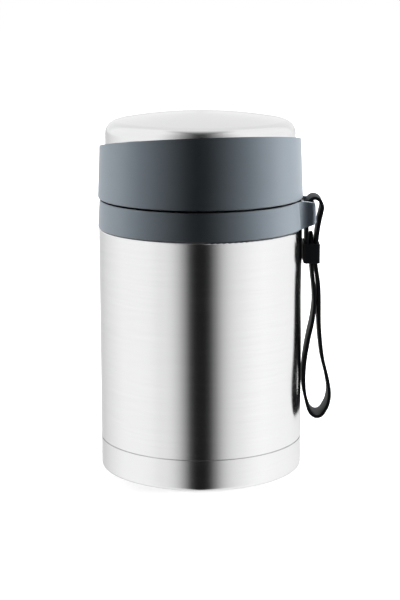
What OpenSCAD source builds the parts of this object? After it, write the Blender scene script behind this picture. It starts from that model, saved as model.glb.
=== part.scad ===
// Insulated food jar: a double-walled steel body with a moulded collar and strap lug, a
// screw-in stopper with a press-to-vent valve, a screw-on lid that serves as a bowl, and a
// flat carrying strap held by a keeper. The base stands on z = 0, and the jar's axis is Z.

/* [Body] */
// Outside diameter of the steel body
body_d = 102; // [96:1:112]
// Height of the steel body up to the collar
body_h = 123; // [108:0.2:150]
// Thickness of the steel sheet
sheet = 0.8; // [0.6:0.1:1.0]
// Height of the cup that covers the base
base_cup_h = 15.4; // [13:0.2:20]
// Radius of the base cup's lower edge
base_round = 1.8; // [1.2:0.1:3]
// Width of the groove between base cup and body
groove_w = 0.6; // [0.4:0.1:1]
// Width of the vacuum space beside the food vessel
vacuum_gap = 3.4; // [2.6:0.1:5]
// Width of the vacuum space round the neck
neck_gap = 1.9; // [1.4:0.1:2.4]
// Distance from the body's outside in to the mouth's bore
mouth_inset = 13; // [12.4:0.2:15]
// Inside radius of the vessel's lower corner
vessel_round = 8; // [5:0.5:12]

/* [Collar] */
// Height of the collar
collar_h = 14.1; // [13.5:0.1:18]
// Height of the mouth's rim above the collar
rim_rise = 14.9; // [13:0.1:17]
// How far the lug stands out past the body
lug_reach = 6.6; // [6.2:0.1:8]
// Width of the lug
lug_w = 24; // [23:0.5:30]
// Radius of the hollow that leads from collar to lug
lug_fillet = 5; // [3:0.5:8]
// Radius of the lug's front and back corners
lug_round = 2.4; // [1.5:0.1:3]
// Thickness of the lug's outer wall
lug_wall = 1.7; // [1.4:0.1:2]

/* [Stopper] */
// Height of the stopper's plug below the rim
plug_h = 26; // [18:0.5:30]
// Wall thickness of the plug
plug_wall = 2; // [1.5:0.1:3]
// Height of the grip above the flange
grip_h = 8.5; // [7.5:0.1:10]
// Distance from the plug's outside in to the grip
grip_inset = 4.1; // [3:0.1:8]
// Number of finger hollows round the grip
grip_hollows = 18; // [8:1:24]
// Diameter of the vent button
button_d = 18; // [16:0.5:22]
// Travel of the vent button
button_travel = 2.5; // [1.5:0.1:3]
// Diameter of the vent's stem
stem_d = 4; // [3.4:0.1:4.6]

/* [Lid] */
// Height of the closed lid, from its lower edge to the crown
lid_h = 42.2; // [40.4:0.2:52]
// Height of the band at the middle of its slanted upper edge
band_mid_h = 27.1; // [24:0.1:28]
// Slant of the band's upper edge, in degrees
band_slant = 8.6; // [0:0.2:10]
// Direction of the band's highest point, in degrees from the lug
band_high_at = -77; // [-180:1:180]
// Thickness of the band
band_wall = 2.4; // [1.8:0.1:3]
// Radius of the steel cap's shoulder
dome_round = 6.7; // [4:0.1:9]
// Height of the steel cap's crown above its shoulder
dome_rise = 3.7; // [2:0.1:5]
// Wall thickness of the bowl inside the lid
bowl_wall = 1.6; // [1.2:0.1:2]
// Thickness of the insulation over the bowl
lid_foam_t = 3; // [2:0.1:4]

/* [Strap] */
// Width of the strap
strap_w = 16; // [14:0.5:16.5]
// Thickness of the strap
strap_t = 1.7; // [1.4:0.1:1.8]
// Height of the keeper that holds the strap's strands together
keeper_h = 9.9; // [8:0.1:10]
// Wall thickness of the keeper at the strap's edges
keeper_wall = 1.5; // [1:0.1:2]

/* [Hidden] */
$fn = 120;

// Slack between pieces that are pressed or glued together, and under a gasket
fit = 0.1;
seat = 0.05;
// Running clearance of the vent's stem in its guide
run = 0.05;
past = 1;

// Body, from the outside in
body_r = body_d / 2;
mouth_r = body_r - mouth_inset;
vessel_r = body_r - 2 * sheet - vacuum_gap;
neck_r = mouth_r + 2 * sheet + neck_gap;
rim_z = body_h + collar_h + rim_rise;
shell_z = base_cup_h + groove_w;
joggle_r = body_r - sheet - fit;
plate_z = 6;
getter_h = 2.1;
vessel_z = plate_z + 2 * sheet + getter_h + 1.1;
plate_top = base_cup_h - 2;
seat_depth = 2.2;
seat_r = body_r - seat_depth;
seat_edge = sheet + 0.1;
shoulder_rise = 6.5;
shoulder_z = body_h + shoulder_rise;
shoulder_round = 4;
vessel_shoulder_z = body_h - 5;
vessel_shoulder_round = 6;
vessel_neck_round = 2;
foot_ring_in = 0.67 * body_r;
foot_ring_out = 0.82 * body_r;
seal_r = 5;
getter_r = 9;
getter_hole_r = 2;
air_hole_r = 1.5;
vacuum_seal_h = 1.1;

// Collar and the ring that carries the lid's thread
collar_z = body_h + fit;
collar_top = body_h + collar_h;
collar_flare = 0.4;
collar_draft = 0.8;
collar_edge = 0.45;
ring_z = shoulder_z + fit;
ring_top = rim_z - 4;
ring_flange_h = 2.4;
ring_edge = 0.5;
lid_proud = 0.3;
thread_room = 1.7;
band_in_r = body_r + lid_proud - band_wall;
skirt_r = band_in_r - fit;
skirt_in_r = skirt_r - 1.9;
ring_r = skirt_in_r - thread_room;
ring_flange_r = seat_r - 1.2;
neck_seal_r = 0.8;

// Lug on the collar
lug_root = 7;
lug_root_x = body_r - lug_root;
lug_top_x = body_r + lug_reach - 0.6;
lug_low_x = body_r + lug_reach;
lug_top_z = collar_top - 0.9;
lug_low_z = body_h + 2.9;
slot_x = body_r + 0.45;
slot_far_x = lug_low_x - 0.3 - lug_wall;
slot_w = strap_w + 2.4;

// Stopper
plug_room = 0.9;
plug_edge = 1.5;
plug_r = mouth_r - plug_room;
plug_z = rim_z - plug_h;
stopper_gasket_h = 1.5;
flange_z = rim_z + seat + stopper_gasket_h;
flange_h = 3.4;
flange_r = neck_r + 0.3;
flange_edge = 1.2;
cover_z = flange_z + flange_h;
cover_top = cover_z + grip_h;
cover_wall = 1.8;
cover_plate = 1.2;
cover_spigot = 2.4;
grip_r = plug_r - grip_inset;
grip_edge = 2;
hollow_r = 3.8;
hollow_depth = 1.2;
well_floor = cover_z + 1.6;
button_r = button_d / 2;
button_gap = 0.25;
button_proud = 2.5;
button_top = cover_top + button_proud;
button_skirt = 1.5;
button_roof = 1.8;
button_edge = 0.9;
dish_r = 40;
dish_depth = 0.6;
skirt_low_z = well_floor + button_travel + 0.5;
stem_r = stem_d / 2;
stem_bore_r = stem_r + 1.2;
post_r = stem_bore_r + 1.8;
seal_h = 2.3;
seal_bevel = 2.2;
seal_lip = 0.7;
clip_h = 0.8;
seal_z = plug_z - seat - seal_h;
clip_z = seal_z - seat - clip_h;
clip_groove_r = stem_r - 0.55;
stem_low_z = clip_z - 0.8;
vent_seal_r = stem_bore_r + 3.3;
spring_r = stem_r + 3.3;
spring_wire_r = 0.45;
spring_turns = 4;

// Lid
lid_z = collar_top + 1;
lid_top = lid_z + lid_h;
lid_gasket_h = 1.9;
shelf_z = ring_top + seat + lid_gasket_h + seat;
shelf_top = shelf_z + bowl_wall;
band_top_r = body_r - 1.1;
band_edge = 0.7;
taper_end_h = 34.2;
dome_r = band_top_r - band_wall - fit;
dome_z = lid_top - dome_rise - dome_round;
crown_r = (pow(dome_r - dome_round, 2) + pow(lid_top - dome_z, 2) - pow(dome_round, 2))
    / (2 * dome_rise);
bowl_r = dome_r - sheet - fit - 1.2;
bowl_top = lid_top - sheet - lid_foam_t - 1.5;
bowl_round = 9.6;

// Strap: its middle line runs in the XZ plane, given from the body's wall and the collar's
// lower edge. It starts under the keeper, goes up through the lug, over the lug's wall and
// down through the keeper to the loop, and comes back up to an end above the keeper.
arch = lug_top_z - body_h;
strap_route = [
    [2.6, -19.4], [2.3, -13.1], [2.2, -6.1], [2.1, -0.1], [2.1, 5.9], [2.4, arch - 2.3],
    [3.6, arch + 0.7], [lug_reach - 0.7, arch + 1.8], [lug_reach + 1.7, arch + 0.7],
    [lug_reach + 3.1, arch - 2.3], [lug_reach + 2.8, 7.9], [lug_reach + 1.9, 3.9],
    [7.8, -0.1], [7.2, -5.1], [6.8, -9.6], [6.6, -16.6], [7.1, -21.1], [7.9, -26.1],
    [8.4, -31.1], [8.6, -37.1], [8.9, -51.1], [10.5, -66.1], [13.1, -77.1], [14.3, -84.6],
    [13.8, -90.1], [12.1, -94.1], [10.3, -96.5], [8.1, -97.3], [5.9, -96.5],
    [4.1, -94.1], [2.6, -89.1], [1.5, -83.1], [1.3, -75.1], [1.9, -67.1], [3.6, -56.6],
    [5.3, -48.6], [6.2, -41.6], [6.4, -37.1], [6, -31.1], [5.4, -26.1], [4.9, -21.1],
    [4.6, -16.6], [4.5, -10.6], [4.5, -5.6], [4.6, -2.6]
];
strap_steps = 4;
// The keeper, given from the same two places; its slot has room beside the outer strands
keeper_low = -17.7;
keeper_side = 0.65;
inner_strand_x = 2.25;
outer_strand_x = 7;
keeper_slot = [inner_strand_x - strap_t / 2 - 0.45, outer_strand_x + strap_t / 2 + 0.1];

// A point on the smooth curve through four points, t of the way from b to c
function spline(a, b, c, d, t) = 0.5 * (2 * b + (c - a) * t
    + (2 * a - 5 * b + 4 * c - d) * t * t + (3 * b - a - 3 * c + d) * t * t * t);
function clamp_at(list, i) = list[max(0, min(len(list) - 1, i))];
function smooth(list, steps) = concat([for (i = [0:len(list) - 2], k = [0:steps - 1])
    spline(clamp_at(list, i - 1), list[i], list[i + 1], clamp_at(list, i + 2), k / steps)],
    [list[len(list) - 1]]);
function heading(line, i) = clamp_at(line, i + 1) - clamp_at(line, i - 1);
function beside(line, i, d) = let (h = heading(line, i)) line[i] + d * [-h[1], h[0]] / norm(h);

// A disc's half section of radius r between two heights, to be revolved
module column(r, low, high) translate([0, low]) square([r, high - low]);

// The half section of a tube
module tube(r_in, r_out, low, high) translate([r_in, low]) square([r_out - r_in, high - low]);

module disc(r, x, z) translate([x, z]) circle(r);

module revolve() rotate_extrude($fn = 180) children();

// Outside of the outer shell, drawn t inside it; ends gives how far it runs past both ends
module shell_outline(t, ends) {
    column(joggle_r - t, plate_z - ends, shell_z + sheet);
    column(body_r - t, shell_z + t, body_h - seat_edge);
    column(body_r - seat_edge, shell_z + t, body_h - t);
    disc(seat_edge - t, body_r - seat_edge, body_h - seat_edge);
    column(seat_r - t, body_h - past, shoulder_z - shoulder_round);
    disc(shoulder_round - t, seat_r - shoulder_round, shoulder_z - shoulder_round);
    column(seat_r - shoulder_round, body_h - past, shoulder_z - t);
    column(neck_r - t, shoulder_z - past, rim_z - sheet + ends);
}

module outer_shell() color("silver") revolve() difference() {
    shell_outline(0, 0);
    shell_outline(sheet, past);
}

// Inside of the food vessel, drawn t outside it
module vessel_outline(t, ends) {
    low = vessel_z + sheet;
    column(vessel_r + t, low + vessel_round, vessel_shoulder_z - vessel_shoulder_round);
    disc(vessel_round + t, vessel_r - vessel_round, low + vessel_round);
    column(vessel_r - vessel_round, low - t, low + vessel_round);
    disc(vessel_shoulder_round + t, vessel_r - vessel_shoulder_round,
        vessel_shoulder_z - vessel_shoulder_round);
    column(vessel_r - vessel_shoulder_round, low + vessel_round, vessel_shoulder_z + t);
    column(mouth_r + t, low + vessel_round, rim_z + ends);
    difference() {
        tube(mouth_r, mouth_r + vessel_neck_round, vessel_shoulder_z,
            vessel_shoulder_z + vessel_neck_round);
        disc(vessel_neck_round - t, mouth_r + vessel_neck_round,
            vessel_shoulder_z + vessel_neck_round);
    }
}

module inner_vessel() color("gainsboro") revolve() difference() {
    union() {
        vessel_outline(sheet, 0);
        tube(mouth_r, neck_r - sheet / 2, rim_z - sheet, rim_z);
        disc(sheet / 2, neck_r - sheet / 2, rim_z - sheet / 2);
    }
    vessel_outline(0, past);
}

// Closes the vacuum space from below; its rim is welded inside the shell's joggle
module base_plate() color("silver") difference() {
    revolve() difference() {
        column(joggle_r - sheet - seat, plate_z, plate_top);
        column(joggle_r - 2 * sheet - seat, plate_z + sheet, base_cup_h);
    }
    translate([0, 0, plate_z - past]) cylinder(r = air_hole_r, h = sheet + 2 * past);
}

module base_cup() color("silver") revolve() difference() {
    union() {
        difference() {
            base_outline(0, 0);
            base_outline(sheet, past);
        }
        tube(foot_ring_in - sheet, foot_ring_out + sheet, 0, 2 * sheet);
    }
    tube(foot_ring_in, foot_ring_out, -past, sheet);
}

module base_outline(t, ends) {
    column(body_r - t, base_round, base_cup_h + ends);
    column(body_r - base_round, t, base_round);
    disc(base_round - t, body_r - base_round, base_round);
}

// Soldered over the hole that the air was drawn through
module vacuum_seal() color("darkgray") revolve() 
    column(seal_r, plate_z - vacuum_seal_h, plate_z);

// Pressed ring of gas-absorbing metal in the vacuum space
module getter() color("dimgray") revolve() difference() {
    column(getter_r, plate_z + sheet, plate_z + sheet + getter_h);
    tube(seal_r - 1, getter_r - 1, plate_z + sheet + 1, plate_z + sheet + getter_h + past);
    column(getter_hole_r, plate_z, plate_z + sheet + getter_h + past);
}

// Sits on the shell's shoulder round the neck, and carries the lid's thread
module neck_ring() color("darkslategray") revolve() difference() {
    union() {
        tube(neck_r + fit, ring_r, ring_z, ring_top - ring_edge);
        tube(neck_r + fit + ring_edge, ring_r - ring_edge, ring_z, ring_top);
        disc(ring_edge, ring_r - ring_edge, ring_top - ring_edge);
        disc(ring_edge, neck_r + fit + ring_edge, ring_top - ring_edge);
        tube(neck_r + fit, ring_flange_r, ring_z, ring_z + ring_flange_h);
    }
    column(neck_r + 2 * neck_seal_r + 2 * fit, ring_z - past, ring_z + 2 * neck_seal_r + fit);
}

module neck_seal() color("white") revolve()
    disc(neck_seal_r, neck_r + neck_seal_r + fit, shoulder_z + neck_seal_r + seat);

function collar_r(z) = body_r + collar_flare - collar_draft * (z - collar_z) / collar_h;

module collar_outline() polygon([
    [0, collar_z], [body_r + collar_flare - collar_edge, collar_z],
    [collar_r(collar_z + collar_edge), collar_z + collar_edge],
    [collar_r(collar_top - collar_edge), collar_top - collar_edge],
    [collar_r(collar_top) - collar_edge, collar_top], [0, collar_top]
]);

// Room inside the collar for the shell's seat, the shoulder and the neck ring's flange
module collar_bore() {
    flange_top = ring_z + ring_flange_h + fit;
    polygon([
        [0, collar_z - past], [seat_r + 2 * fit, collar_z - past],
        [seat_r + 2 * fit, shoulder_z - shoulder_round + past],
        [ring_flange_r + 2 * fit, ring_z], [ring_flange_r + 2 * fit, flange_top],
        [ring_r + 0.8, flange_top], [ring_r + 0.8, collar_top + past],
        [0, collar_top + past]
    ]);
}

// Seen from above: a loop that grows out of the collar in a hollow curve on each side
module lug_plan() {
    root_r = body_r - 0.4;
    half = lug_w / 2;
    hollow_x = sqrt(pow(root_r + lug_fillet, 2) - pow(half + lug_fillet, 2));
    meets = atan2(half + lug_fillet, hollow_x);
    translate([lug_root_x, -half]) square([lug_low_x - lug_round - lug_root_x, lug_w]);
    translate([lug_root_x, lug_round - half])
        square([lug_low_x - lug_root_x, lug_w - 2 * lug_round]);
    for (side = [-1, 1]) {
        translate([lug_low_x - lug_round, side * (half - lug_round)]) circle(lug_round);
        difference() {
            polygon([
                [lug_root_x, side * half], [hollow_x, side * half],
                [hollow_x, side * (half + lug_fillet)],
                root_r * [cos(meets), side * sin(meets)]
            ]);
            translate([hollow_x, side * (half + lug_fillet)]) circle(lug_fillet);
        }
    }
}

// Seen from the front: the lug is lower at its outer wall than at the collar
module lug_side() polygon([
    [lug_root_x, collar_z], [body_r - 0.6, collar_z],
    [lug_low_x - 0.8, lug_low_z - 0.4], [lug_low_x, lug_low_z + 0.5],
    [lug_top_x, lug_top_z - 0.8], [lug_top_x - 0.8, lug_top_z],
    [body_r - 1, collar_top], [lug_root_x, collar_top]
]);

module collar() color("slategray") difference() {
    union() {
        revolve() collar_outline();
        intersection() {
            translate([0, 0, collar_z]) linear_extrude(collar_h) lug_plan();
            rotate([90, 0, 0]) linear_extrude(2 * lug_w, center = true) lug_side();
        }
    }
    revolve() collar_bore();
    translate([slot_x, -slot_w / 2, collar_z - past])
        cube([slot_far_x - slot_x, slot_w, collar_h + 2 * past]);
}

module strap() {
    line = [for (p = smooth(strap_route, strap_steps)) [body_r + p[0], body_h + p[1]]];
    last = len(line) - 1;
    color("dimgray") difference() {
        rotate([90, 0, 0]) linear_extrude(strap_w, center = true) polygon([
            for (i = [0:last]) beside(line, i, strap_t / 2),
            for (i = [last:-1:0]) beside(line, i, -strap_t / 2)
        ]);
        strap_end(line[0], -1);
        strap_end(line[last], 1);
    }
}

// What is cut away from an end of the strap to make it round; way is 1 for an upper end
module strap_end(tip, way) {
    r = strap_w / 2;
    translate([tip[0], 0, tip[1] - way * r]) rotate([90, 0, 90])
        linear_extrude(strap_t + 0.3, center = true) difference() {
            translate([-strap_w, way > 0 ? 0 : -strap_w]) square([2 * strap_w, strap_w]);
            circle(r);
        }
}

// A rectangle from low to high with round corners
module rounded(low, high, r) {
    translate(low + [r, 0]) square(high - low - [2 * r, 0]);
    translate(low + [0, r]) square(high - low - [0, 2 * r]);
    for (x = [low[0] + r, high[0] - r], y = [low[1] + r, high[1] - r])
        translate([x, y]) circle(r);
}

module strap_keeper() {
    half = strap_w / 2 + 0.3;
    color("dimgray") translate([body_r, 0, body_h + keeper_low]) linear_extrude(keeper_h)
        difference() {
            rounded([keeper_slot[0] - keeper_side, -half - keeper_wall],
                [keeper_slot[1] + keeper_side, half + keeper_wall], 0.9);
            rounded([keeper_slot[0], -half], [keeper_slot[1], half], 0.4);
        }
}

module stopper_gasket() color("white") revolve()
    tube(mouth_r - 0.5, neck_r - 0.5, rim_z + seat, rim_z + seat + stopper_gasket_h);

// A cup-shaped plug with a flange over the rim and a tube for the vent's stem
module stopper_body() color("darkslategray") revolve() difference() {
    union() {
        column(plug_r - plug_edge, plug_z, flange_z);
        column(plug_r, plug_z + plug_edge, flange_z);
        disc(plug_edge, plug_r - plug_edge, plug_z + plug_edge);
        column(flange_r, flange_z, cover_z - flange_edge);
        column(flange_r - flange_edge, flange_z, cover_z);
        disc(flange_edge, flange_r - flange_edge, cover_z - flange_edge);
    }
    tube(post_r, plug_r - plug_wall, plug_z + plug_wall, cover_z + past);
    column(stem_bore_r, plug_z - past, cover_z + past);
}

module stopper_foam() color("lightyellow") revolve()
    tube(post_r + fit, plug_r - plug_wall - fit, plug_z + plug_wall + fit,
        cover_z - cover_spigot - 0.6);

// Closes the plug, and has the grip with the button's well in its middle
module stopper_cover() color("darkslategray") difference() {
    revolve() difference() {
        union() {
            column(plug_r + 1, cover_z, cover_z + cover_plate);
            column(grip_r, cover_z, cover_top - grip_edge);
            disc(grip_edge, grip_r - grip_edge, cover_top - grip_edge);
            column(grip_r - grip_edge, cover_z, cover_top);
            tube(plug_r - plug_wall - cover_wall, plug_r - plug_wall - fit,
                cover_z - cover_spigot, cover_z);
        }
        column(button_r + button_gap, well_floor, cover_top + past);
        column(stem_r + run, cover_z - past, well_floor + past);
        tube(button_r + button_gap + cover_wall, grip_r - grip_edge - cover_wall,
            cover_z - past, cover_top - cover_wall);
    }
    for (i = [0:grip_hollows - 1])
        rotate(i * 360 / grip_hollows)
            translate([grip_r - hollow_depth + hollow_r, 0, cover_z + cover_plate + 1])
                cylinder(r = hollow_r, h = grip_h);
}

module vent_button() color("steelblue") revolve() difference() {
    union() {
        column(button_r, skirt_low_z, button_top - button_edge);
        disc(button_edge, button_r - button_edge, button_top - button_edge);
        column(button_r - button_edge, skirt_low_z, button_top);
    }
    tube(stem_r + 1.4, button_r - button_skirt, skirt_low_z - past, button_top - button_roof);
    column(stem_r + fit / 2, skirt_low_z - past, button_top - button_roof);
    disc(dish_r, 0, button_top + dish_r - dish_depth);
}

module vent_stem() color("gray") revolve() difference() {
    column(stem_r, stem_low_z, button_top - button_roof - fit);
    tube(clip_groove_r, stem_r + past, clip_z - seat, clip_z + clip_h + seat);
}

// A compression spring: wire swept along a helix that its functions work out
module vent_spring() {
    low = well_floor + spring_wire_r + seat;
    high = button_top - button_roof - spring_wire_r - seat;
    per_turn = 20;
    sides = 8;
    count = spring_turns * per_turn;
    rings = [for (i = [0:count], k = [0:sides - 1])
        let (a = i * 360 / per_turn, b = k * 360 / sides,
            r = spring_r + spring_wire_r * cos(b))
        [r * cos(a), r * sin(a), low + (high - low) * i / count + spring_wire_r * sin(b)]];
    walls = [for (i = [0:count - 1], k = [0:sides - 1])
        [i * sides + k, (i + 1) * sides + k, (i + 1) * sides + (k + 1) % sides,
            i * sides + (k + 1) % sides]];
    color("silver") polyhedron(rings, concat(walls,
        [[for (k = [0:sides - 1]) k]],
        [[for (k = [sides - 1:-1:0]) count * sides + k]]));
}

module vent_seal() color("white") revolve() difference() {
    tube(stem_r + run, vent_seal_r, seal_z, seal_z + seal_h);
    polygon([
        [vent_seal_r - seal_bevel, seal_z - past], [vent_seal_r + past, seal_z - past],
        [vent_seal_r + past, seal_z + seal_h - seal_lip],
        [vent_seal_r, seal_z + seal_h - seal_lip], [vent_seal_r - seal_bevel, seal_z]
    ]);
}

// A C-shaped clip in the stem's groove, under the seal
module vent_clip() color("silver") translate([0, 0, clip_z]) linear_extrude(clip_h)
    difference() {
        circle(stem_r + 2);
        circle(clip_groove_r + run);
        translate([0, -clip_groove_r * 0.9]) square([stem_r + 3, clip_groove_r * 1.8]);
    }

module lid_gasket() color("white") revolve()
    tube(flange_r + 1.4, ring_r + 1.2, ring_top + seat, ring_top + seat + lid_gasket_h);

// Tapered outer band with a slanted upper edge
module lid_band() color("slategray") difference() {
    revolve() difference() {
        union() {
            polygon([
                [0, lid_z], [body_r + lid_proud - band_edge, lid_z],
                [body_r + lid_proud, lid_z + band_edge], [band_top_r, lid_z + taper_end_h],
                [band_top_r, lid_top], [0, lid_top]
            ]);
            disc(band_edge, body_r + lid_proud - band_edge, lid_z + band_edge);
        }
        column(band_in_r, lid_z - past, shelf_top + fit);
        column(dome_r + fit, lid_z, lid_top + past);
    }
    translate([0, 0, lid_z + band_mid_h]) rotate([0, 0, band_high_at])
        rotate([0, -band_slant, 0]) translate([-body_d, -body_d, 0])
            cube([2 * body_d, 2 * body_d, lid_h]);
}

// Outside of the steel cap, drawn t inside it: a wall, a round shoulder and a shallow crown
module dome_outline(t, low) {
    crown_z = lid_top - crown_r;
    shoulder_x = dome_r - dome_round;
    lean = atan2(shoulder_x, dome_z - crown_z);
    column(dome_r - t, low, dome_z);
    disc(dome_round - t, shoulder_x, dome_z);
    intersection() {
        translate([0, crown_z]) circle(crown_r - t, $fn = 1440);
        polygon([[0, crown_z], 2 * crown_r * [sin(lean), cos(lean)] + [0, crown_z],
            [0, lid_top + past]]);
        column(dome_r, dome_z - dome_round, lid_top + past);
    }
}

module lid_dome() color("silver") revolve() difference() {
    dome_outline(0, shelf_top + fit);
    dome_outline(sheet, shelf_top);
}

// Outside of the bowl's cup, drawn t inside it
module bowl_outline(t, low) {
    column(bowl_r - t, low, bowl_top - bowl_round);
    disc(bowl_round - t, bowl_r - bowl_round, bowl_top - bowl_round);
    column(bowl_r - bowl_round, low, bowl_top - t);
}

// The bowl's cup, and the skirt that screws onto the neck ring
module lid_bowl() color("darkslategray") revolve() difference() {
    union() {
        bowl_outline(0, shelf_z);
        column(skirt_r, lid_z + 0.5, shelf_top);
    }
    bowl_outline(bowl_wall, lid_z);
    column(skirt_in_r, lid_z - past, shelf_z);
}

module lid_foam() color("lightyellow") revolve() difference() {
    dome_outline(sheet + fit, shelf_top + fit);
    bowl_outline(-fit, shelf_z);
}

outer_shell();
inner_vessel();
base_plate();
base_cup();
vacuum_seal();
getter();
neck_ring();
neck_seal();
collar();
strap();
strap_keeper();
stopper_gasket();
stopper_body();
stopper_foam();
stopper_cover();
vent_button();
vent_stem();
vent_spring();
vent_seal();
vent_clip();
lid_gasket();
lid_band();
lid_dome();
lid_bowl();
lid_foam();
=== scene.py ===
import math

import bpy
from mathutils import Matrix, Vector


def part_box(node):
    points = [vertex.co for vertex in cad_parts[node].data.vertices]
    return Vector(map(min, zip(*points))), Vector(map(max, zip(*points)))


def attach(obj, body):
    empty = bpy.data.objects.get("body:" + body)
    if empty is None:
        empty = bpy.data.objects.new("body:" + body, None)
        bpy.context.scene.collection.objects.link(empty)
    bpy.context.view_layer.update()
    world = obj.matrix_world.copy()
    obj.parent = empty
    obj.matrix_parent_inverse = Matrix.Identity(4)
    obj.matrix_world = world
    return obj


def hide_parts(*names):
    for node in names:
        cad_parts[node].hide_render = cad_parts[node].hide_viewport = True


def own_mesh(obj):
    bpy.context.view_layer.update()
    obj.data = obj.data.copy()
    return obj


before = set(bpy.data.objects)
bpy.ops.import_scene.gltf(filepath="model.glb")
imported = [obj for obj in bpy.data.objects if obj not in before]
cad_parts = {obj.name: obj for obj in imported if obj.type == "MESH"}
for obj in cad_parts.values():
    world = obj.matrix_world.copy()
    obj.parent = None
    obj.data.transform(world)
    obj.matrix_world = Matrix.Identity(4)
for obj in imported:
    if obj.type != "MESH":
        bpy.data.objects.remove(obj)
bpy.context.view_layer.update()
scene = bpy.context.scene
scene.view_settings.view_transform = "Standard"
MM = 0.001
DEG = math.radians(1)


# ---------------------------------------------------------------- mesh helpers
def mesh_object(name, verts, faces, body, material, sharp_deg):
    """A piece from points in millimetres, riding on a body."""
    mesh = bpy.data.meshes.new(name)
    mesh.from_pydata([[c * MM for c in v] for v in verts], [], faces)
    mesh.validate()
    mesh.update()
    mesh.shade_smooth()
    mesh.set_sharp_from_angle(angle=sharp_deg * DEG)
    mesh.materials.append(material)
    obj = bpy.data.objects.new(name, mesh)
    scene.collection.objects.link(obj)
    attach(obj, body)
    return obj


def loft(rings, close=False, caps=False):
    """Faces between equal rings of points; close joins the last ring to the first."""
    n, count = len(rings[0]), len(rings)
    verts = [p for ring in rings for p in ring]
    faces = []
    for i in range(count if close else count - 1):
        a, b = i * n, ((i + 1) % count) * n
        for k in range(n):
            m = (k + 1) % n
            faces.append((a + k, a + m, b + m, b + k))
    if caps:
        faces.append(tuple(range(n))[::-1])
        faces.append(tuple(range((count - 1) * n, count * n)))
    return verts, faces


def round_rectangle(x0, x1, y0, y1, r, per_corner):
    """The outline of a rectangle with round corners, as a list of points."""
    corners = (
        (x1 - r, y1 - r, 0), (x0 + r, y1 - r, 90), (x0 + r, y0 + r, 180), (x1 - r, y0 + r, 270),
    )
    points = []
    for cx, cy, start in corners:
        for k in range(per_corner + 1):
            a = (start + 90 * k / per_corner) * DEG
            points.append((cx + r * math.cos(a), cy + r * math.sin(a)))
    return points


# ---------------------------------------------------------------- material helpers
def grey(level):
    return (level, level, level, 1)


def srgb(*rgb):
    """Scene-linear colour from 8-bit display values."""
    return tuple(((c / 255 + 0.055) / 1.055) ** 2.4 if c > 10 else c / 255 / 12.92 for c in rgb)


def shaded(colour, factor):
    return (*[c * factor for c in colour], 1)


class Nodes:
    """A small builder for one node tree. Each method returns the output of what it adds."""

    def __init__(self, tree):
        self.tree = tree
        tree.nodes.clear()

    def add(self, kind, inputs=None, **settings):
        """Adds a node and returns the node itself; an input is a value or another's output."""
        node = self.tree.nodes.new(kind)
        for key, value in settings.items():
            setattr(node, key, value)
        for key, value in (inputs or {}).items():
            if isinstance(value, bpy.types.NodeSocket):
                self.tree.links.new(value, node.inputs[key])
            else:
                node.inputs[key].default_value = value
        return node

    def math(self, op, *values):
        return self.add("ShaderNodeMath", dict(enumerate(values)), operation=op).outputs[0]

    def map(self, value, low, high, to_low, to_high, smooth=False):
        return self.add(
            "ShaderNodeMapRange", {0: value, 1: low, 2: high, 3: to_low, 4: to_high},
            interpolation_type="SMOOTHSTEP" if smooth else "LINEAR",
        ).outputs[0]

    def mix(self, factor, a, b):
        """A colour between a and b."""
        inputs = {0: factor, 6: a, 7: b}
        return self.add("ShaderNodeMix", inputs, data_type="RGBA").outputs[2]

    def ramp(self, value, stops):
        """Grey levels at positions from 0 to 1, with straight lines between them."""
        node = self.add("ShaderNodeValToRGB", {0: value})
        ramp = node.color_ramp
        ramp.interpolation = "LINEAR"
        while len(ramp.elements) > 1:
            ramp.elements.remove(ramp.elements[-1])
        ramp.elements[0].position = stops[0][0]
        ramp.elements[0].color = grey(stops[0][1])
        for position, level in stops[1:]:
            ramp.elements.new(position).color = grey(level)
        return node.outputs[0]

    def noise(self, vector, scale, detail, roughness):
        return self.add(
            "ShaderNodeTexNoise",
            {"Vector": vector, "Scale": scale, "Detail": detail, "Roughness": roughness},
        ).outputs[0]

    def stretch(self, vector, x, y, z):
        return self.add("ShaderNodeMapping", {0: vector, 3: (x, y, z)}).outputs[0]

    def bump(self, strength, distance, height):
        return self.add(
            "ShaderNodeBump", {"Strength": strength, "Distance": distance, "Height": height}
        ).outputs[0]


def new_material(name):
    """A material, its node builder and the place on the object, in metres."""
    material = bpy.data.materials.new(name)
    material.use_nodes = True
    n = Nodes(material.node_tree)
    return material, n, n.add("ShaderNodeTexCoord").outputs["Object"]


def finish_material(material, n, **sockets):
    """Ends a material in a Principled shader; in the sockets' names, _ stands for a space."""
    shader = n.add(
        "ShaderNodeBsdfPrincipled", {k.replace("_", " "): v for k, v in sockets.items()}
    )
    n.add("ShaderNodeOutputMaterial", {0: shader.outputs[0]})
    return material


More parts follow.
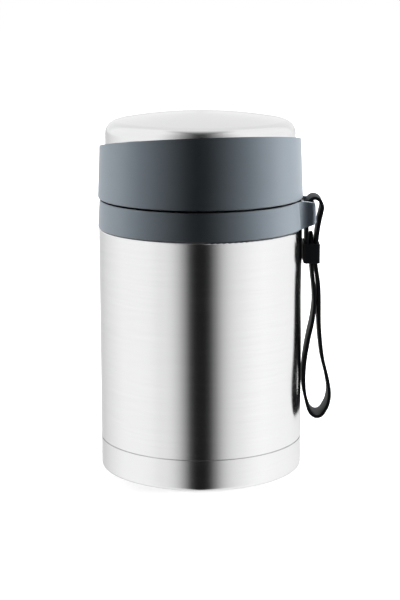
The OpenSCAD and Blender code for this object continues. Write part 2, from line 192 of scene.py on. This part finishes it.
def brushed_steel(name, base, roughness, lines=1.0, anisotropy=0.75, vary=0.03):
    """Steel brushed round the axis: fine level lines, with the reflections drawn out along Z."""
    material, n, place = new_material(name)
    fine = n.noise(n.stretch(place, 60, 60, 9000), 1.0, 3.0, 0.6)
    broad = n.noise(n.stretch(place, 25, 25, 700), 1.0, 2.0, 0.5)
    cloud = n.noise(place, 22.0, 2.0, 0.5)
    both = n.math("MULTIPLY_ADD", broad, 0.4, n.math("MULTIPLY", fine, 0.6))
    colour = n.mix(
        n.map(both, 0.3, 0.7, 0.0, 1.0), shaded(base, 1 - vary), shaded(base, 1 + vary)
    )
    rough = n.math(
        "ADD",
        n.map(both, 0.3, 0.7, roughness - 0.02, roughness + 0.03),
        n.map(cloud, 0.3, 0.7, -0.01, 0.01),
    )
    tangent = n.add("ShaderNodeTangent", direction_type="RADIAL", axis="Z").outputs[0]
    return finish_material(
        material, n, Base_Color=colour, Metallic=1.0, Roughness=rough,
        Normal=n.bump(0.10 * lines, 0.00004, both),
        Anisotropic=anisotropy, Anisotropic_Rotation=0.25, Tangent=tangent,
    )


def moulded(name, base, roughness, grain_mm=0.35, bump=0.12, vary=0.05,
            specular=0.5, sheen=0.0, sheen_rough=0.5):
    """Moulded plastic: a fine eroded texture, with slow changes of tone and gloss."""
    material, n, place = new_material(name)
    grain = n.noise(place, 1000 / grain_mm, 2.0, 0.6)
    slow = n.noise(place, 38.0, 3.0, 0.55)
    colour = n.mix(
        n.map(slow, 0.3, 0.7, 0.0, 1.0), shaded(base, 1 - vary), shaded(base, 1 + vary)
    )
    rough = n.math(
        "ADD",
        n.map(slow, 0.3, 0.7, roughness - 0.025, roughness + 0.025),
        n.map(grain, 0.3, 0.7, -0.02, 0.02),
    )
    return finish_material(
        material, n, Base_Color=colour, Roughness=rough, Normal=n.bump(bump, 0.00005, grain),
        Specular_IOR_Level=specular, Sheen_Weight=sheen, Sheen_Roughness=sheen_rough,
    )


def silicone(name, base, roughness, vary=0.12, specular=0.5, scatter=0.0):
    """Silicone rubber: a matt skin with faint dust and rubbed places."""
    material, n, place = new_material(name)
    skin = n.noise(place, 4500.0, 2.0, 0.6)
    slow = n.noise(place, 60.0, 3.0, 0.6)
    colour = n.mix(
        n.map(slow, 0.3, 0.72, 0.0, 1.0), shaded(base, 1 - vary), shaded(base, 1 + vary)
    )
    return finish_material(
        material, n, Base_Color=colour,
        Roughness=n.map(slow, 0.3, 0.7, roughness - 0.04, roughness + 0.04),
        Normal=n.bump(0.08, 0.00004, skin), Specular_IOR_Level=specular,
        Subsurface_Weight=scatter, Subsurface_Scale=0.002,
    )


def beads(name, base, size_mm):
    """Expanded polystyrene: soft pale beads pressed together, with painted shade darkening the
    creases between them.
    """
    material, n, place = new_material(name)
    cells = n.add("ShaderNodeTexVoronoi", {"Vector": place, "Scale": 1000 / size_mm})
    # Lower towards each bead's rim: the height for the bump, and painted shade at 0.86 of the base
    # in the creases between beads
    edge = n.map(cells.outputs["Distance"], 0.0, 0.7, 1.0, 0.0, smooth=True)
    return finish_material(
        material, n, Base_Color=n.mix(edge, shaded(base, 0.86), shaded(base, 1.0)),
        Roughness=0.8, Normal=n.bump(0.4, 0.0002, edge),
    )


# ---------------------------------------------------------------- materials
STEEL = (0.80, 0.80, 0.803)
SLATE = (0.1125, 0.159, 0.205)
body_steel = brushed_steel("body_steel", STEEL, 0.20, anisotropy=0.9)
inner_steel = brushed_steel("inner_steel", (0.66, 0.665, 0.67), 0.30, lines=1.3)
cap_steel = brushed_steel("cap_steel", STEEL, 0.18, anisotropy=0.5)
slate = moulded("slate_plastic", SLATE, 0.34, specular=0.285, sheen=0.38, sheen_rough=0.87)
dark = moulded("dark_plastic", srgb(52, 54, 58), 0.45)
# Near-black neck plastic, also used below as painted shade on the collar's top face in the seam
# under the lid
neck_black_and_gap_shade = moulded("neck_black_and_gap_shade", srgb(16, 17, 19), 0.55, specular=0.15)
button_slate = moulded("button_plastic", srgb(92, 104, 116), 0.40)
strap_rubber = silicone("strap_rubber", srgb(15, 18, 22), 0.50, specular=0.15)
keeper_rubber = silicone("keeper_rubber", srgb(12, 14, 18), 0.48, specular=0.2)
seal = silicone("seal_rubber", srgb(214, 215, 212), 0.42, vary=0.03, scatter=0.3)
foam = beads("foam", srgb(240, 238, 230), 2.6)
solder = moulded("solder_glass", srgb(96, 100, 100), 0.12, bump=0.02)
getter_metal = moulded("getter_metal", srgb(120, 120, 122), 0.7, grain_mm=0.2, bump=0.4)
wire = brushed_steel("spring_steel", (0.6, 0.6, 0.61), 0.28, lines=0.5, anisotropy=0.2)

for node, material in {
    "outer_shell": body_steel, "base_cup": body_steel, "inner_vessel": inner_steel,
    "base_plate": inner_steel, "vacuum_seal": solder, "getter": getter_metal,
    "neck_ring": neck_black_and_gap_shade, "neck_seal": seal, "collar": slate, "strap": strap_rubber,
    "strap_keeper": keeper_rubber, "stopper_gasket": seal, "stopper_body": dark,
    "stopper_foam": foam, "stopper_cover": dark, "vent_button": button_slate,
    "vent_stem": wire, "vent_spring": wire, "vent_seal": seal, "vent_clip": wire,
    "lid_gasket": seal, "lid_band": slate, "lid_dome": cap_steel, "lid_bowl": dark,
    "lid_foam": foam,
}.items():
    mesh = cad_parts[node].data
    mesh.materials.clear()
    mesh.materials.append(material)

# The black line between the lid and the collar is painted shade: the collar's top face, inside its
# round edge, takes the near-black neck plastic where the seam only lies in shadow
PAINTED_SHADE_Z, PAINTED_SHADE_R = 0.1369, 0.0512
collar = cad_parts["collar"].data
collar.materials.append(neck_black_and_gap_shade)
for face in collar.polygons:
    if face.normal.z > 0.95 and face.center.z > PAINTED_SHADE_Z and face.center.xy.length < PAINTED_SHADE_R:
        face.material_index = 1

# ---------------------------------------------------------------- strap
# Its middle line runs in the XZ plane, given as in part.scad from the body's wall and the
# collar's lower edge, in millimetres
BODY_R, BODY_H, LUG_REACH, ARCH = 51.0, 123.0, 6.6, 13.2
ROUTE = [
    (2.6, -19.4), (2.3, -13.1), (2.2, -6.1), (2.1, -0.1), (2.1, 5.9), (2.4, ARCH - 2.3),
    (3.6, ARCH + 0.7), (LUG_REACH - 0.7, ARCH + 1.8), (LUG_REACH + 1.7, ARCH + 0.7),
    (LUG_REACH + 3.1, ARCH - 2.3), (LUG_REACH + 2.8, 7.9), (LUG_REACH + 1.9, 3.9),
    (7.8, -0.1), (7.2, -5.1), (6.8, -9.6), (6.6, -16.6), (7.1, -21.1), (7.9, -26.1),
    (8.4, -31.1), (8.6, -37.1), (8.9, -51.1), (10.5, -66.1), (13.1, -77.1), (14.3, -84.6),
    (13.8, -90.1), (12.1, -94.1), (10.3, -96.5), (8.1, -97.3), (5.9, -96.5),
    (4.1, -94.1), (2.6, -89.1), (1.5, -83.1), (1.3, -75.1), (1.9, -67.1), (3.6, -56.6),
    (5.3, -48.6), (6.2, -41.6), (6.4, -37.1), (6, -31.1), (5.4, -26.1), (4.9, -21.1),
    (4.6, -16.6), (4.5, -10.6), (4.5, -5.6), (4.6, -2.6),
]
# Half the width, the thickness, and the radius of the long edges. The thickness is a touch
# under the solid's 1.7, so that the smoother curve stays inside the solid's box
STRAP_HALF, STRAP_T, STRAP_EDGE = 8.0, 1.69, 0.62
# The ends are half circles of at least this half width, and thin out over this length
TIP_HALF, TIP_THINS = 0.25, 0.8
SPLINE_STEPS, RING_STEP = 10, 0.9


def spline_line(points, steps):
    """The smooth curve through the points."""
    last = len(points) - 1
    line = []
    for i in range(last):
        a, b, c, d = (points[max(0, min(last, j))] for j in (i - 1, i, i + 1, i + 2))
        for k in range(steps):
            t = k / steps
            line.append(tuple(
                0.5 * (2 * b[m] + (c[m] - a[m]) * t
                       + (2 * a[m] - 5 * b[m] + 4 * c[m] - d[m]) * t * t
                       + (3 * b[m] - a[m] - 3 * c[m] + d[m]) * t ** 3)
                for m in (0, 1)))
    line.append(points[-1])
    return line


def resample(line, step):
    """Places along the line with their points, even but closer together near both ends."""
    lengths = [0.0]
    for p, q in zip(line, line[1:]):
        lengths.append(lengths[-1] + math.dist(p, q))
    total = lengths[-1]
    marks = []
    s = 0.0
    while s < total / 2:
        marks.append(s)
        s += min(step, 0.05 + 0.28 * s)
    marks += [total - m for m in reversed(marks)]
    out, j = [], 0
    for m in marks:
        while j < len(lengths) - 2 and lengths[j + 1] < m:
            j += 1
        f = (m - lengths[j]) / max(lengths[j + 1] - lengths[j], 1e-9)
        out.append((m, tuple(line[j][k] + f * (line[j + 1][k] - line[j][k]) for k in (0, 1))))
    return out, total


marks, strap_length = resample(spline_line(ROUTE, SPLINE_STEPS), RING_STEP)
rings = []
for i, (s, p) in enumerate(marks):
    before, after = marks[max(0, i - 1)][1], marks[min(len(marks) - 1, i + 1)][1]
    hx, hz = after[0] - before[0], after[1] - before[1]
    size = math.hypot(hx, hz)
    nx, nz = -hz / size, hx / size
    to_end = min(s, strap_length - s)
    half = max(TIP_HALF, math.sqrt(STRAP_HALF ** 2 - max(0, STRAP_HALF - to_end) ** 2))
    thick = STRAP_T * (0.35 + 0.65 * math.sqrt(1 - max(0, 1 - to_end / TIP_THINS) ** 2))
    edge = min(STRAP_EDGE, half * 0.9, thick / 2 * 0.98)
    rings.append([
        (BODY_R + p[0] + nx * across, y, BODY_H + p[1] + nz * across)
        for y, across in round_rectangle(-half, half, -thick / 2, thick / 2, edge, 4)
    ])
verts, faces = loft(rings, caps=True)
strap = mesh_object("strap_band", verts, faces, "jar", strap_rubber, 40)
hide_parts("strap")

# ---------------------------------------------------------------- keeper
# A sleeve with round edges; its slot has room beside the outer strands
KEEPER_CORNER, KEEPER_EDGE, SLOT_CORNER, SLOT_EDGE = 0.95, 0.45, 0.4, 0.2
INNER_STRAND_X, OUTER_STRAND_X = 2.25, 7.0
keeper_low, keeper_high = (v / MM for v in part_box("strap_keeper"))
slot_x0 = BODY_R + INNER_STRAND_X - STRAP_T / 2 - 0.45
slot_x1 = BODY_R + OUTER_STRAND_X + STRAP_T / 2 + 0.1
slot_half = STRAP_HALF + 0.3


def edge_round(radius, steps):
    """Pairs of inset and drop round a quarter, from the side over to the end face."""
    angles = [90 * k / steps * DEG for k in range(steps + 1)]
    return [(radius * (1 - math.cos(a)), radius * (1 - math.sin(a))) for a in angles]


def outer_ring(inset, z):
    outline = round_rectangle(
        keeper_low.x + inset, keeper_high.x - inset, keeper_low.y + inset, keeper_high.y - inset,
        KEEPER_CORNER - inset * 0.6, 6,
    )
    return [(x, y, z) for x, y in outline]


def slot_ring(inset, z):
    outline = round_rectangle(
        slot_x0 - inset, slot_x1 + inset, -slot_half - inset, slot_half + inset,
        SLOT_CORNER + inset * 0.6, 6,
    )
    return [(x, y, z) for x, y in outline]


outer_edge, slot_edge = edge_round(KEEPER_EDGE, 6), edge_round(SLOT_EDGE, 3)
rings = [outer_ring(inset, keeper_high.z - drop) for inset, drop in outer_edge]
rings += [slot_ring(inset, keeper_high.z - drop) for inset, drop in reversed(slot_edge)]
rings += [slot_ring(inset, keeper_low.z + drop) for inset, drop in slot_edge]
rings += [outer_ring(inset, keeper_low.z + drop) for inset, drop in reversed(outer_edge)]
verts, faces = loft(rings, close=True)
keeper = mesh_object("keeper_sleeve", verts, faces, "keeper", keeper_rubber, 50)
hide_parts("strap_keeper")

# ---------------------------------------------------------------- valve spring
# A coil of round wire that fills the box of the model's spring
WIRE_R, TURNS, PER_TURN, ROUND_WIRE, TRAVEL = 0.45, 4, 40, 12, 2.5
spring_low, spring_high = (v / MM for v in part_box("vent_spring"))
spring_h = spring_high.z - spring_low.z
coil_r = spring_high.x - WIRE_R
rings = []
for i in range(TURNS * PER_TURN + 1):
    a = math.tau * i / PER_TURN
    z = spring_low.z + WIRE_R + (spring_h - 2 * WIRE_R) * i / (TURNS * PER_TURN)
    ring = []
    for k in range(ROUND_WIRE):
        b = math.tau * k / ROUND_WIRE
        r = coil_r + WIRE_R * math.cos(b)
        ring.append((r * math.cos(a), r * math.sin(a), z + WIRE_R * math.sin(b)))
    rings.append(ring)
verts, faces = loft(rings, caps=True)
coil = mesh_object("vent_coil", verts, faces, "stopper", wire, 50)
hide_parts("vent_spring")
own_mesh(coil)

# ---------------------------------------------------------------- threads
# Ridges on plain walls: each is sunk a little into its wall and fades out at both ends
STARTS, LEAD, SINK = 3, 12.0, 0.15
STEPS, FADE_STEPS, FADED = 48, 7, 0.02


def ridges(name, radii, widths, z_mid, turn_deg, phase_deg, body, slot, material):
    """Trapezoids swept along right-hand helices; radii and widths are at the wall and the tip."""
    (wall_r, tip_r), (wall_w, tip_w) = radii, widths
    outward = tip_r > wall_r
    sunk_r = wall_r - SINK if outward else wall_r + SINK
    verts, faces = [], []
    for start in range(STARTS):
        first = len(verts)
        for i in range(STEPS + 1):
            u = i / STEPS - 0.5
            t = (phase_deg + 360 * start / STARTS + turn_deg * u) * DEG
            z = z_mid + LEAD * turn_deg / 360 * u
            fade = math.sin(math.pi / 2 * min(1, min(i, STEPS - i) / FADE_STEPS))
            top_r = wall_r + (tip_r - wall_r) * (FADED + (1 - FADED) * fade)
            for r, dz in (
                (sunk_r, -wall_w / 2), (wall_r, -wall_w / 2), (top_r, -tip_w / 2),
                (top_r, tip_w / 2), (wall_r, wall_w / 2), (sunk_r, wall_w / 2),
            ):
                verts.append((r * math.cos(t), r * math.sin(t), z + dz))
        for i in range(STEPS):
            a, b = first + 6 * i, first + 6 * (i + 1)
            for k in range(6):
                m = (k + 1) % 6
                quad = (a + k, b + k, b + m, a + m)
                faces.append(quad if outward else quad[::-1])
        low = tuple(range(first, first + 6))
        high = tuple(range(first + 6 * STEPS, first + 6 * STEPS + 6))
        faces.append(low if outward else low[::-1])
        faces.append(high[::-1] if outward else high)
    return mesh_object(name, verts, faces, body, material, 25)


for ridge in (
    ("neck_thread", (45.2, 46.35), (1.8, 0.8), 142.6, 205, 0, "jar", "dark_plastic", neck_black_and_gap_shade),
    ("lid_thread", (46.9, 45.75), (1.4, 0.6), 144.0, 170, 102, "lid", "dark_plastic", dark),
    ("mouth_thread", (38.0, 37.5), (1.6, 0.8), 142.6, 200, 30, "jar", "inner_steel", inner_steel),
    ("stopper_thread", (37.1, 37.7), (1.4, 0.6), 144.0, 170, 132, "stopper", "dark_plastic", dark),
):
    ridges(*ridge)

# ---------------------------------------------------------------- floor
# Pale paper that the camera sees white away from the jar, and not at all from below
JAR_NEAR, JAR_FAR = 0.06, 0.16
floor_mesh = bpy.data.meshes.new("floor")
floor_mesh.from_pydata([(-14, -14, 0), (14, -14, 0), (14, 22, 0), (-14, 22, 0)], [], [(0, 1, 2, 3)])
floor = bpy.data.objects.new("floor", floor_mesh)
scene.collection.objects.link(floor)
floor_material, n, place = new_material("floor_paper")
floor_mesh.materials.append(floor_material)
from_axis = n.add("ShaderNodeVectorMath", {0: place}, operation="LENGTH").outputs["Value"]
paper = n.add("ShaderNodeBsdfDiffuse", {"Color": grey(0.6)}).outputs[0]
glow = n.add("ShaderNodeEmission", {
    "Color": grey(1.0), "Strength": n.map(from_axis, JAR_NEAR, JAR_FAR, 0.62, 1.0, smooth=True),
}).outputs[0]
from_above = n.add("ShaderNodeMixShader", {
    0: n.add("ShaderNodeLightPath").outputs["Is Camera Ray"], 1: paper,
    2: n.add("ShaderNodeAddShader", {0: paper, 1: glow}).outputs[0],
}).outputs[0]
either_side = n.add("ShaderNodeMixShader", {
    0: n.add("ShaderNodeNewGeometry").outputs["Backfacing"], 1: from_above,
    2: n.add("ShaderNodeBsdfTransparent").outputs[0],
}).outputs[0]
n.add("ShaderNodeOutputMaterial", {0: either_side})
floor.visible_glossy = False
floor.visible_diffuse = False

# ---------------------------------------------------------------- soft boxes
# They light the dull surfaces; what shines shows the walls of the studio below instead.
# Azimuths are from the camera's side, to the right
JAR_MIDDLE = Vector((0, 0, 0.09))
for name, azimuth, elevation, distance, size, power in (
    ("box_right", 98, 10, 1.6, (1.0, 1.4), 58.7),
    ("box_left", -98.5, 10, 1.6, (1.0, 1.4), 42.3),
    ("box_back", 180, 50, 1.7, (1.6, 1.2), 42),
):
    lamp = bpy.data.lights.new(name, "AREA")
    lamp.shape = "RECTANGLE"
    lamp.size, lamp.size_y = size
    lamp.energy = power
    box = bpy.data.objects.new(name, lamp)
    a, e = azimuth * DEG, elevation * DEG
    way = Vector((math.sin(a) * math.cos(e), -math.cos(a) * math.cos(e), math.sin(e)))
    box.location = JAR_MIDDLE + way * distance
    box.rotation_euler = way.to_track_quat("Z", "Y").to_euler()
    box.visible_glossy = False
    scene.collection.objects.link(box)

# ---------------------------------------------------------------- studio
# The walls and the ceiling that gloss shows. The levels are the world's, by direction
WALL_LEVELS = (
    (-180, 0.72), (-150, 0.71), (-125, 0.92), (-100, 1.09), (-75, 1.10), (-60, 1.06),
    (-48, 0.96), (-40, 0.95), (-32, 0.83), (-25, 0.62), (-18, 0.33), (-12, 0.06), (-6, 0.01),
    (0, 0.01), (5, 0.01), (10, 0.04), (17, 0.26), (24, 0.57), (31, 0.78), (39, 0.92),
    (48, 1.00), (60, 1.11), (75, 1.18), (100, 1.13), (125, 1.08), (150, 0.96), (180, 0.72),
)
CEILING_LEVELS = (
    (0, 0.0), (30, 0.0), (54, 0.012), (64, 0.05), (74, 0.13), (84, 0.29), (94, 0.65), (104, 0.88),
    (114, 0.92), (128, 0.90), (144, 0.895), (152, 0.905), (162, 0.92), (170, 0.94), (180, 0.97),
)
world = bpy.data.worlds.new("studio")
world.use_nodes = True
world.cycles_visibility.diffuse = False
scene.world = world
n = Nodes(world.node_tree)
x, y, z = n.add(
    "ShaderNodeSeparateXYZ", {0: n.add("ShaderNodeTexCoord").outputs["Generated"]}
).outputs
to_front = n.math("MULTIPLY", y, -1.0)
# Azimuth from the camera's side, elevation, and the way over the top from front to back
azimuth = n.math("ARCTAN2", x, to_front)
elevation = n.math("ARCSINE", z)
over = n.math("ARCTAN2", z, to_front)
sideways = n.math("ABSOLUTE", azimuth)
walls = n.ramp(
    n.map(azimuth, -math.pi, math.pi, 0.0, 1.0), [(0.5 + a / 360, v) for a, v in WALL_LEVELS]
)
# Above eye level the room is dark behind the camera and lightens slowly towards both sides
side_end = n.map(elevation, 30 * DEG, 70 * DEG, 62 * DEG, 84 * DEG)
room = n.map(n.math("DIVIDE", sideways, side_end), 0.0, 1.0, 0.03, 1.06, smooth=True)
room = n.math("MULTIPLY", room, n.map(elevation, 64 * DEG, 84 * DEG, 1.0, 0.0, smooth=True))
room = n.math("MULTIPLY", room, n.map(sideways, 140 * DEG, 168 * DEG, 1.0, 0.0, smooth=True))
sides = n.mix(n.map(elevation, -4 * DEG, 9 * DEG, 0.0, 1.0, smooth=True), walls, room)
ceiling = n.ramp(
    n.map(over, 0.0, math.pi, 0.0, 1.0), [(a / 180, v) for a, v in CEILING_LEVELS]
)
ceiling = n.math("MULTIPLY", ceiling, n.map(elevation, -6 * DEG, 2 * DEG, 0.0, 1.0))
light = n.math("MAXIMUM", sides, ceiling)
# The camera sees plain white instead
seen = n.mix(n.add("ShaderNodeLightPath").outputs["Is Camera Ray"], light, grey(1.0))
n.add("ShaderNodeOutputWorld", {0: n.add("ShaderNodeBackground", {0: seen, 1: 1.0}).outputs[0]})

# ---------------------------------------------------------------- camera
# The lens and the shift are given in pixels of the frame, which is 600 high
SENSOR, FRAME_H, LENS_PX, SHIFT_PX = 36, 600, 1711, -0.75
PLACE, LOOK_DOWN, ROLL = (0, -0.850, 0.2595), 11.6, -0.14
camera_data = bpy.data.cameras.new("camera")
camera_data.sensor_width = SENSOR
camera_data.lens = LENS_PX / FRAME_H * SENSOR
camera_data.shift_x = SHIFT_PX / FRAME_H
camera_data.clip_start = 0.05
camera = bpy.data.objects.new("camera", camera_data)
camera.matrix_world = (
    Matrix.Translation(PLACE)
    @ Matrix.Rotation((90 - LOOK_DOWN) * DEG, 4, "X")
    @ Matrix.Rotation(ROLL * DEG, 4, "Z")
)
scene.collection.objects.link(camera)
scene.camera = camera

bpy.context.view_layer.update()
